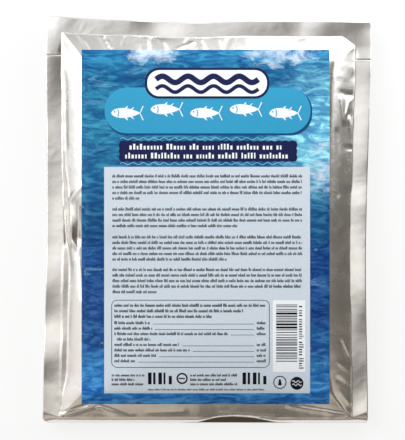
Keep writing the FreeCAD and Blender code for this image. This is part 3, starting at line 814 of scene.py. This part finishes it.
def make_label():
    """The label: its sheet of printed water, then the plates, panels and small print on it."""
    white = print_material("ink_white", srgb(240, 245, 250))
    navy = print_material("ink_navy", srgb(26, 32, 76))
    turquoise = print_material("ink_turquoise", srgb(53, 155, 197))
    shade = print_material("ink_shade", srgb(22, 74, 122))
    pale = print_material("ink_panel", srgb(207, 218, 229), 0.5)
    line_blue = print_material("ink_line_blue", srgb(140, 190, 220))
    black = print_material("ink_black", srgb(16, 18, 28))
    grey = print_material("ink_small_print", srgb(20, 22, 34))

    half_s = (LABEL_RIGHT - LABEL_LEFT) / 2
    half_t = (LABEL_TOP - LABEL_BOTTOM) / 2
    sheet = printed("label_sheet", [box(-half_s, half_s, -half_t, half_t, 2.2)], PAPER, water_material())
    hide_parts("label")

    # the two plates at the head
    printed("bar_shade", [rounded(-94.5, 101.0, 86.6, 130.5, 20)], SHADE, shade)
    printed("bar", [rounded(-95.6, 99.4, 88.7, 132.0, 21)], FIELD, turquoise)
    printed("plaque_edge", [rounded(-57.5, 60.4, 121.5, 150.9, 13.5)], PLATE, navy)
    printed("plaque", [rounded(-55.2, 58.1, 123.8, 148.6, 11.5)], INK, white)
    s = np.linspace(-47, 50, 90)
    swing = 3.0 * np.sin((s - s[0]) / (s[-1] - s[0]) * 2 * math.pi * 4)
    printed("plaque_waves", [ribbon(s, 139.8 + swing, 5.4), ribbon(s, 130.6 + swing, 3.6)],
            DEEP_INK, navy)
    school, gills = [], []
    turn = np.radians(np.linspace(-50, 50, 9))
    for k in range(5):
        middle_s, middle_t = -74 + 37.4 * k, 109.6 + (1.8 if k % 2 else -1.8)
        school += fish(middle_s, middle_t, 31, 13.5)
        gills.append(ribbon(middle_s - 10.9 + 2.6 * np.cos(turn), middle_t + 4.4 * np.sin(turn), 0.8))
        gills.append(disc(middle_s - 12.1, middle_t + 1.3, 0.75))
    printed("bar_fish", school, PLATE, white)
    printed("bar_fish_gills", gills, DEEP_INK, turquoise)

    # the scalloped banner with a wavy line along both sides and two rows of marks
    left, right, low, high = -80.8, 85.6, 62.6, 81.0
    s = np.linspace(left, right, 210)
    share = (s - left) / (right - left)
    scallop = 0.9 * np.abs(np.sin(share * math.pi * 25))
    wave = np.sin(share * math.pi * 34)
    end_t = np.repeat(np.linspace(low, high, 12)[::-1, None], 2, axis=1)
    bulging = 0.2 + 1.1 * np.abs(np.sin(np.linspace(0, math.pi * 3, 12)))
    flat = np.full(12, 0.2)
    printed("banner", [strip(s, low - scallop, high + scallop, 3),
                       (np.stack([left - bulging, left + flat], axis=1)[::-1], end_t),
                       (np.stack([right - flat, right + bulging], axis=1)[::-1], end_t)], FIELD, navy)
    printed("banner_lines", [ribbon(s, 83.6 + wave, 0.55), ribbon(s, 60.0 + wave, 0.55)], FIELD, line_blue)
    rows = marks(-72, 74, 76.0, 5.4, 1.7, 0.55) + marks(-76, 79, 67.6, 5.4, 1.7, 0.55)
    printed("banner_marks", rows, PLATE, white)

    # the pale panel and its blocks of small print
    printed("panel", [box(-96.0, 98.9, -157.5, 56.9, 2.2)], FIELD, pale)
    small = []
    for first, count, last in ((48.4, 5, -62), (17.1, 4, 30), (-9.3, 5, 20), (-40.2, 5, -45)):
        for k in range(count):
            end = last if k == count - 1 else 91.6
            small += marks(-88.2, end, first - 5.25 * k, 3.1, 0.6, 0.68)
    printed("small_print", small, PLATE, grey)

    # the table: frame, heading, rows with leader lines and values
    table = [frame_line(-88.9, 60.4, -132.9, -69.3, 5.0, 0.6)]
    for k, end in enumerate((57, 36, 6)):
        table += marks(-86.4, end, -74.0 - 5.25 * k, 3.1, 0.62, 0.72)
    lengths = (34, 36, 108, 0, 62, 72, 40, 20)
    for k, length in enumerate(lengths):
        level = -90.6 - 5.15 * k
        if length == 0:
            table += marks(-84, -52, level, 3.0, 0.6, 0.7)
            continue
        table += marks(-86.4, -86.4 + length, level, 3.0, 0.6, 0.7)
        table.append(box(-84 + length, 46, level - 1.5, level - 1.05))
        table += marks(48.5, 57.5, level, 3.0, 0.7, 0.7)
    printed("table", table, PLATE, black)

    # the code: bars across, with a row of small strokes beside them
    printed("code_field", [box(63.7, 94.4, -137.2, -69.3)], PLATE, white)
    bars, place = [], -73.4
    while place > -127:
        thick = rng.choice([0.8, 0.8, 1.2, 2.0])
        bars.append(box(66.8, 86.8, place - thick, place, 3))
        place -= thick + rng.choice([0.7, 0.9, 0.9, 1.6])
    bars += marks(-134, -74, 90.6, 4.4, 1.0, 0.45, upright=True)
    printed("code_bars", bars, INK, black)

    # the foot of the panel: small lines, two bold groups, a ring and two discs
    foot = []
    for start, end in ((-88.9, -58.0), (-14.5, 30.0)):
        for k in range(3):
            foot += marks(start, end - 9 * (k % 2), -140.2 - 4.2 * k, 2.7, 0.6, 0.72)
    foot += marks(-54.5, 55.5, -153.9, 1.8, 0.5, 0.7)
    for start in (-54.5, 35.0):
        for k, thick in enumerate((3.4, 2.2, 3.4, 1.8, 3.0)):
            left = start + 4.9 * k
            foot.append(box(left, left + thick, -149.0, -149.0 + (11.2 if k < 4 else 8.0), 3))
    foot.append(ring(-22.2, -143.4, 4.6, 1.5))
    foot.append(box(-25.5, -19.5, -144.0, -142.8, 99))
    foot += [ring(70.4, -147.1, 5.8, 0.9), disc(86.5, -148.0, 6.2)]
    foot += [quad((68.6, -150.0), (72.2, -150.0), (71.2, -144.2), (69.6, -144.2))]
    printed("panel_foot", foot, PLATE, black)
    s = np.linspace(82.2, 90.8, 18)
    swing = 0.9 * np.sin((s - s[0]) / (s[-1] - s[0]) * 2 * math.pi * 2)
    printed("disc_waves", [ribbon(s, -146.4 + swing, 0.8), ribbon(s, -149.4 + swing, 0.8)], INK, pale)


# ---------------------------------------------------------------- studio


def world_light():
    """A dim warm room, brighter to the upper left, with a soft overhead light just off the zenith."""
    world = bpy.data.worlds.new("studio")
    bpy.context.scene.world = world
    world.use_nodes = True
    graph = Graph(world.node_tree)

    def toward(direction, low, high, stops):
        """A colour ramp over the cosine between the view direction and a fixed direction."""
        cosine = graph.vector("DOT_PRODUCT", graph.coordinates["Generated"], Vector(direction).normalized())
        return graph.ramp(graph.spread(cosine["Value"], 0.0, 1.0, low, high), stops)

    room = toward((-0.85, 0.5, 0.0), -1, 1, [
        (0.0, (0.11, 0.102, 0.09)), (0.25, (0.095, 0.086, 0.075)), (0.4, (0.12, 0.11, 0.10)),
        (0.5, (0.16, 0.155, 0.148)), (0.65, (0.30, 0.30, 0.295)), (0.8, (0.75, 0.75, 0.75)),
        (1.0, (0.95, 0.95, 0.95))])
    overhead = toward((-0.2, 0.24, 0.95), math.cos(math.radians(36)), 1.0, [
        (0.0, (0.0, 0.0, 0.0)), (0.3, (0.06, 0.058, 0.055)), (0.52, (0.18, 0.175, 0.17)),
        (0.74, (0.46, 0.455, 0.45)), (0.88, (0.74, 0.74, 0.74)), (1.0, (0.88, 0.88, 0.88))])
    graph.fill(graph.nodes["Background"], Color=graph.vector("ADD", room, overhead)["Vector"])


def softbox(name, place, target, size, power, colour=(1.0, 1.0, 1.0)):
    lamp = bpy.data.lights.new(name, "AREA")
    lamp.shape = "RECTANGLE"
    lamp.size, lamp.size_y = size
    lamp.energy = power
    lamp.color = colour
    piece = bpy.data.objects.new(name, lamp)
    bpy.context.scene.collection.objects.link(piece)
    piece.location = place
    piece.rotation_euler = (Vector(target) - Vector(place)).to_track_quat("-Z", "Y").to_euler()
    return piece


def floor():
    """A floor that is pale round the pouch and dark beyond.

    What sees it straight or mirrored sees most of its colour as a plain glow, so that it stays white; the
    rest is matte and takes the pouch's shadow.
    """
    material, graph, shader = new_material("studio_floor")
    graph.nodes.remove(shader)
    x, y, _ = graph.place()
    furthest = graph.math("MAXIMUM", graph.math("ABSOLUTE", graph.math("DIVIDE", x, BOARD[0] * MM)),
                          graph.math("ABSOLUTE", graph.math("DIVIDE", y, BOARD[1] * MM)))
    fade = graph.ramp(graph.math("MULTIPLY", furthest, 0.5), [(0.5, (0.97, 0.97, 0.97)),
                                                              (0.61, (0.10, 0.095, 0.09))])
    path = graph.add("LightPath").outputs
    seen = graph.math("MAXIMUM", path["Is Camera Ray"], path["Is Glossy Ray"])
    seen = graph.math("MAXIMUM", seen, path["Is Transmission Ray"])
    mix = graph.add("MixShader", Fac=graph.math("MULTIPLY", seen, 0.8))
    graph.feed(mix.inputs[1], graph.add("BsdfDiffuse", Color=fade).outputs["BSDF"])
    graph.feed(mix.inputs[2], graph.add("Emission", Color=fade, Strength=1.0).outputs["Emission"])
    graph.feed(graph.nodes["Material Output"].inputs["Surface"], mix.outputs["Shader"])
    reach = 1200
    piece = mesh_object("studio_floor", [(-reach, -reach, 0), (reach, -reach, 0), (reach, reach, 0),
                                         (-reach, reach, 0)], [(0, 1, 2, 3)], material, smooth=False)


def camera():
    """Looks straight down on the pouch, turned so that the label reads level."""
    data = bpy.data.cameras.new("camera")
    piece = bpy.data.objects.new("camera", data)
    bpy.context.scene.collection.objects.link(piece)
    bpy.context.scene.camera = piece
    distance = 5.0
    picture_height = 418 * MM    # at the level of the seal
    data.sensor_width = 36.0
    data.lens = data.sensor_width * (distance - SEAL_LEVEL * MM) / picture_height
    # the picture's middle lies a little to the left of and above the pouch's middle
    piece.location = (-4.3 * MM, 0.9 * MM, distance)
    piece.rotation_euler = (0, 0, LABEL_TURN)
    data.clip_end = 20


world_light()
floor()
softbox("key", (-0.85, 0.55, 0.7), (0, 0.05, 0), (1.0, 1.0), 10.4)
softbox("top_right", (0.33, 0.62, 0.32), (0.10, 0.17, 0.0), (0.7, 0.6), 2.9)
softbox("right_top", (0.60, 0.43, 0.22), (0.14, 0.20, 0.0), (0.6, 0.55), 2.2)
softbox("low_left", (-0.24, -0.62, 0.28), (-0.12, -0.17, 0.0), (0.56, 0.5), 0.38, (1.0, 0.9, 0.78))
softbox("low_middle", (0.17, -0.62, 0.28), (0.13, -0.17, 0.0), (0.12, 0.5), 0.09, (1.0, 0.9, 0.78))
softbox("low_right", (0.55, -0.31, 0.25), (0.15, -0.20, 0.0), (0.3, 0.4), 0.18, (1.0, 0.92, 0.82))
camera()

foil = foil_material()
film = pouch_mesh(foil)
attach(film, "root")
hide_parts("pouch")

make_label()

bpy.context.scene.view_settings.view_transform = "Standard"
